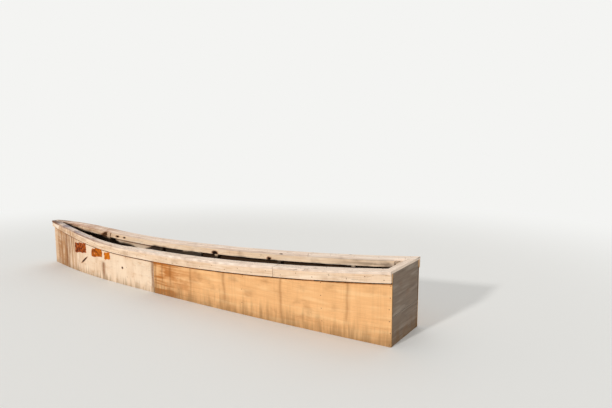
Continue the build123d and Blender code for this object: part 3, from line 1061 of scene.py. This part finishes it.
class BOAT_OT_cross_timbers(bpy.types.Operator):
    """Lay the seats and the transom planks, and stand the ribs"""
    bl_idname = "boat.cross_timbers"
    bl_label = "Seats, transom and ribs"

    def execute(self, context):
        seat_z = RISER_Z + RISER_DEEP
        reach = edge(PANEL_THICK + SEAT_GAP)
        for number, (node, x_from, x_to) in enumerate(SEATS, start=40):
            half = reach(x_from, seat_z)
            station = across_boat(x_from, x_to, lambda x: seat_z, lambda x: seat_z + SEAT_THICK, reach)
            board(node, (-half, half), station, (12, 3), RUBBED, number)
        lining, head = edge(PANEL_THICK), sheer(CAP_THICK)
        half = lining(STERN_X, TRANSOM_SEAM_Z)
        planks = (
            # node, low, high
            ("transom_plank_lower", bottom(BOTTOM_THICK), lambda x: TRANSOM_SEAM_Z - CLEARANCE),
            ("transom_plank_upper", lambda x: TRANSOM_SEAM_Z + CLEARANCE, head),
        )
        for number, (node, low, high) in enumerate(planks, start=50):
            station = across_boat(STERN_X, STERN_X + TRANSOM_THICK, low, high, lining)
            board(node, (-half, half), station, (2, 24), SHADED_TRANSOM, number)
        # The first pair of ribs keeps its solids
        foot = bottom(BOTTOM_THICK + CHINE_LOG_DEEP)
        for number, x in enumerate(FRAME_X[1:], start=2):
            for side_name, side in SIDES:
                board(
                    f"rib_{number}_{side_name}", (foot(x), head(x) - CLEARANCE / 2),
                    upright(x - FRAME_WIDE / 2, lining, edge(RIB_IN), side), (4, 4), INNER,
                    60 + number * 2 + side / 2, TIMBER_STEP, kind="timber",
                )
        return {"FINISHED"}


KEPT_NODES = (
    # start of the node's name, finish, grain axis
    ("bottom_plank", SOAKED, "X"),
    ("breasthook", INNER, "X"),
    ("butt_block", INNER, "X"),
    ("floor_timber", INNER, "Y"),
    ("nose_block", BLEACHED, "Y"),
    ("quarter_knee", INNER, "Y"),
    ("rib_1", INNER, "Z"),
    ("stem_post", PAINTED, "Z"),
    ("transom_post", INNER, "Z"),
    ("transom_sill", INNER, "Y"),
)
WELD_REACH = 0.00005


class BOAT_OT_small_timbers(bpy.types.Operator):
    """Soften the edges of the timbers that keep their solids, and give them their finish"""
    bl_idname = "boat.small_timbers"
    bl_label = "Small timbers"

    def execute(self, context):
        for start, finish, along in KEPT_NODES:
            for name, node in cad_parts.items():
                if not name.startswith(start):
                    continue
                node.data.materials.clear()
                node.data.materials.append(wood(finish, along))
                weld = node.modifiers.new("Weld corners", "WELD")
                weld.merge_threshold = WELD_REACH
                soften = node.modifiers.new("Worn edges", "BEVEL")
                soften.width = context.scene.plank_boat.wear.edge_round
                soften.segments = 2
                soften.limit_method = "ANGLE"
                soften.angle_limit = SHARP_ANGLE
        return {"FINISHED"}


# Pitches in metres of the nails up a frame, beside the butt joint, along the chine log, up the stem
# post and transom, along an outwale and along a cap
FRAME_PITCH = 0.125
JOINT_PITCH = 0.095
CHINE_PITCH = 0.14
END_PITCH = 0.10
OUTWALE_PITCH = 0.17
CAP_PITCH = 0.26
# A panel's row of nails along the chine log above the bottom planks, its other lowest nails above
# the bottom, its highest below the cap, the rows beside the joint, and how far nails stray from the
# line of a frame and of an end
CHINE_ROW = 0.022
NAIL_LOW = 0.09
NAIL_TOP = 0.10
JOINT_ROWS = (-0.024, 0.024)
FRAME_STRAY = 0.012
END_STRAY = 0.006
# An outwale's nails lie low and high by turns, this far below the cap, and a cap's nails in pairs,
# these insets from the hull's outer face
OUTWALE_DROPS = (0.048, 0.022)
CAP_INSETS = (-0.004, 0.066)
NAIL_SIDES = 10
NAIL_RINGS = (
    # share of the head's radius, share of how far it stands out, how far it is sunk in metres
    (1.0, 0.0, 0.0015),
    (1.0, 0.2, 0.0),
    (0.6, 0.8, 0.0),
)


def nail_mesh(name, heads, radius, proud):
    """Domed nail heads in one mesh, from their places and outward directions."""
    verts, faces = [], []
    for place, out in heads:
        out = Vector(out).normalized()
        side = out.orthogonal().normalized()
        other = out.cross(side)
        first = len(verts)
        for share, lift, sunk in NAIL_RINGS:
            for k in range(NAIL_SIDES):
                turn = 2 * math.pi * k / NAIL_SIDES
                reach = side * math.cos(turn) + other * math.sin(turn)
                verts.append(Vector(place) + reach * radius * share + out * (proud * lift - sunk))
        tip = len(verts)
        verts.append(Vector(place) + out * proud)
        for row in range(first, tip, NAIL_SIDES):
            for k in range(NAIL_SIDES):
                a, b = row + k, row + (k + 1) % NAIL_SIDES
                inner = (tip,) if row + NAIL_SIDES == tip else (b + NAIL_SIDES, a + NAIL_SIDES)
                faces.append((a, b, *inner))
        faces.append(tuple(range(first, first + NAIL_SIDES)))
    mesh = bpy.data.meshes.new(name)
    mesh.from_pydata(verts, [], faces)
    return mesh


def hull_point(x, z, breadth, side):
    """A point on a hull face and the face's outward direction."""
    slope = (breadth(x + 0.01, z) - breadth(x - 0.01, z)) / 0.02
    return (x, side * breadth(x, z), z), (-slope, side, 0)


def spread(start, end, pitch):
    """Places from start to end, as near as possible to a pitch apart."""
    count = max(1, round((end - start) / pitch))
    return [start + (end - start) * k / count for k in range(count + 1)]


def panel_nails(side):
    """Nails through a side's panels, a little out of line where they follow a post or a frame."""
    foot, rail = bottom(NAIL_LOW), sheer(CAP_THICK)
    places = []
    for x in FRAME_X:
        heights = spread(foot(x), rail(x) - NAIL_TOP, FRAME_PITCH)
        places += [(x + FRAME_STRAY * math.sin(z * 60), z) for z in heights]
    for offset in JOINT_ROWS:
        heights = spread(NAIL_LOW, rail(PANEL_JOINT_X) - NAIL_TOP, JOINT_PITCH)
        places += [(PANEL_JOINT_X + offset, z + offset / 3) for z in heights]
    chine = bottom(BOTTOM_THICK + CHINE_ROW)
    places += [(x, chine(x)) for x in spread(STERN_X + 0.05, BOW_X - 0.06, CHINE_PITCH)]
    for x in (BOW_X - STEM_NOSE - 0.04, STERN_X + 0.016):
        heights = spread(foot(x), rail(x) - NAIL_TOP, END_PITCH)
        places += [(x + END_STRAY * math.sin(z * 80), z) for z in heights]
    return [hull_point(x, z, edge(0), side) for x, z in places]


def outwale_nails(side):
    """Nails along an outwale."""
    face, top = edge(-OUTWALE_THICK, -OUTWALE_THICK_BOW), sheer(CAP_THICK)
    return [
        hull_point(x, top(x) - OUTWALE_DROPS[number % 2], face, side)
        for number, x in enumerate(spread(STERN_X + 0.06, BOW_X - 0.06, OUTWALE_PITCH))
    ]


def cap_nails(side):
    """Nails along a cap, over the outwale and over the inwale. Near the bow only the outer ones fit."""
    top = sheer(SAW_MARKS)
    heads = []
    for x in spread(STERN_X + 0.09, CAP_BOW_X - 0.12, CAP_PITCH):
        for inset in CAP_INSETS:
            y = edge(inset)(min(x, BOW_X), 0.6)
            if y > 0.02:
                heads.append(((x + inset * 0.3, side * y, top(x)), (0, 0, 1)))
    return heads


class BOAT_OT_nails(bpy.types.Operator):
    """Drive the nails of the panels, outwales and caps"""
    bl_idname = "boat.nails"
    bl_label = "Nails"

    def execute(self, context):
        sizes = context.scene.plank_boat.wear
        for side_name, side in SIDES:
            for group, nails in (("panel", panel_nails), ("outwale", outwale_nails), ("cap", cap_nails)):
                name = f"{group}_nails_{side_name}"
                mesh = nail_mesh(name, nails(side), sizes.nail_head / 2, sizes.nail_proud)
                finish_piece(name, mesh, rusted_iron(), "dark_bottom")
        return {"FINISHED"}


# Stage

CAMERA_PLACE = (-4.194, 4.013, 1.765)
CAMERA_TURN = (83.03, 0.0, -146.96)
CAMERA_LENS = 30.094
LAMPS = (
    # name, strength, angle, turn in degrees about x, y and z
    ("Key sun", 1.85, 4, (70, 0, 170)),
    ("Fill sun", 0.5, 60, (50, 0, 20)),
)
# The floor's radius, where it starts and ends its fade into the backdrop, and how far it reaches
# into the hull's sides, in metres
FLOOR_REACH = 40
FLOOR_FADE = (3.5, 9.0)
FLOOR_TUCK = 0.004
WORLD_LIGHT = 0.62


def background_rays(tree):
    """1 for the rays that see the plain background, straight or in gloss or glass, else 0."""
    path = add(tree, "LightPath").outputs
    share = path["Is Camera Ray"]
    for kind in ("Is Glossy Ray", "Is Transmission Ray"):
        share = maths("MAXIMUM", share, path[kind])
    return share


def stand(context, data, turn, place=(0, 0, 0)):
    """Put a lamp or the camera in the scene, with its turn in degrees about x, y and z."""
    holder = bpy.data.objects.new(data.name, data)
    holder.location = place
    holder.rotation_euler = [math.radians(a) for a in turn]
    context.scene.collection.objects.link(holder)
    return holder


def lay_floor(context):
    """A plain floor with a hole where the hull passes through it. It fades into the backdrop."""
    settings = context.scene.plank_boat
    z = settings.wear.waterline
    breadth = edge(FLOOR_TUCK)
    stations = spread(STERN_X + FLOOR_TUCK, BOW_X - FLOOR_TUCK, 0.05)
    outline = [(x, breadth(x, z)) for x in stations]
    outline += [(x, -y) for x, y in reversed(outline)]
    verts = [(x, y, z) for x, y in outline]
    for x, y in outline:
        # The long outline is shortened to a quarter, so that the rim's points spread evenly
        turn = math.atan2(y, x / 4)
        verts.append((FLOOR_REACH * math.cos(turn), FLOOR_REACH * math.sin(turn), z))
    count = len(outline)
    faces = [(k, (k + 1) % count, count + (k + 1) % count, count + k) for k in range(count)]
    mesh = bpy.data.meshes.new("floor")
    mesh.from_pydata(verts, [], faces)
    floor = bpy.data.objects.new("floor", mesh)
    context.scene.collection.objects.link(floor)
    material, tree, shader = new_material("Plain floor")
    plug(shader, {"Base Color": tuple(settings.colours.floor), "Roughness": 0.9})
    centre = add(tree, "TexCoord").outputs["Object"]
    away = add(tree, "VectorMath", {0: centre}, operation="LENGTH").outputs["Value"]
    share = times(ramp(away, *FLOOR_FADE), background_rays(tree))
    backdrop = add(tree, "Emission", {"Color": tuple(settings.colours.backdrop), "Strength": 1.0})
    mix = add(tree, "MixShader", {0: share, 1: shader.outputs[0], 2: backdrop.outputs[0]})
    plug(tree.nodes["Material Output"], {"Surface": mix.outputs[0]})
    mesh.materials.append(material)


def set_world(context):
    """A soft even world that is plain and pale where the camera sees it."""
    world = bpy.data.worlds.new("Soft world")
    context.scene.world = world
    world.use_nodes = True
    tree = world.node_tree
    light = tree.nodes["Background"]
    plug(light, {"Color": (1, 1, 1, 1), "Strength": WORLD_LIGHT})
    backdrop = tuple(context.scene.plank_boat.colours.backdrop)
    view = add(tree, "Background", {"Color": backdrop, "Strength": 1.0})
    mix = add(tree, "MixShader", {0: background_rays(tree), 1: light.outputs[0], 2: view.outputs[0]})
    plug(tree.nodes["World Output"], {"Surface": mix.outputs[0]})


class BOAT_OT_stage(bpy.types.Operator):
    """Set the floor at the waterline, the lamps, the world and the camera"""
    bl_idname = "boat.stage"
    bl_label = "Stage"

    def execute(self, context):
        lay_floor(context)
        for name, strength, angle, turn in LAMPS:
            lamp = bpy.data.lights.new(name, "SUN")
            lamp.energy = strength
            lamp.angle = math.radians(angle)
            stand(context, lamp, turn)
        set_world(context)
        camera = bpy.data.cameras.new("Camera")
        camera.lens = CAMERA_LENS
        camera.sensor_width = 36
        camera.sensor_fit = "HORIZONTAL"
        context.scene.camera = stand(context, camera, CAMERA_TURN, CAMERA_PLACE)
        context.scene.view_settings.view_transform = "Standard"
        return {"FINISHED"}


class BOAT_PT_panel(bpy.types.Panel):
    bl_label = "Plank boat"
    bl_idname = "BOAT_PT_panel"
    bl_space_type = "VIEW_3D"
    bl_region_type = "UI"
    bl_category = "Plank boat"

    def draw(self, context):
        settings = context.scene.plank_boat
        for group in (settings.wear, settings.colours):
            for key in group.bl_rna.properties.keys():
                if key not in ("rna_type", "name"):
                    self.layout.prop(group, key)
        for operator in OPERATORS:
            self.layout.operator(operator.bl_idname)


OPERATORS = (
    BOAT_OT_sides,
    BOAT_OT_rails,
    BOAT_OT_cross_timbers,
    BOAT_OT_small_timbers,
    BOAT_OT_nails,
    BOAT_OT_stage,
)
CLASSES = (BoatWear, BoatColours, BoatSettings, *OPERATORS, BOAT_PT_panel)


def register():
    for kind in CLASSES:
        bpy.utils.register_class(kind)
    bpy.types.Scene.plank_boat = bpy.props.PointerProperty(
        type=BoatSettings, name="Plank boat", description="Settings of the plank boat"
    )


def unregister():
    del bpy.types.Scene.plank_boat
    for kind in reversed(CLASSES):
        bpy.utils.unregister_class(kind)


def main():
    register()
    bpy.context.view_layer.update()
    bpy.ops.boat.sides()
    bpy.ops.boat.rails()
    bpy.ops.boat.cross_timbers()
    bpy.ops.boat.small_timbers()
    bpy.ops.boat.nails()
    bpy.ops.boat.stage()


if __name__ == "__main__":
    main()
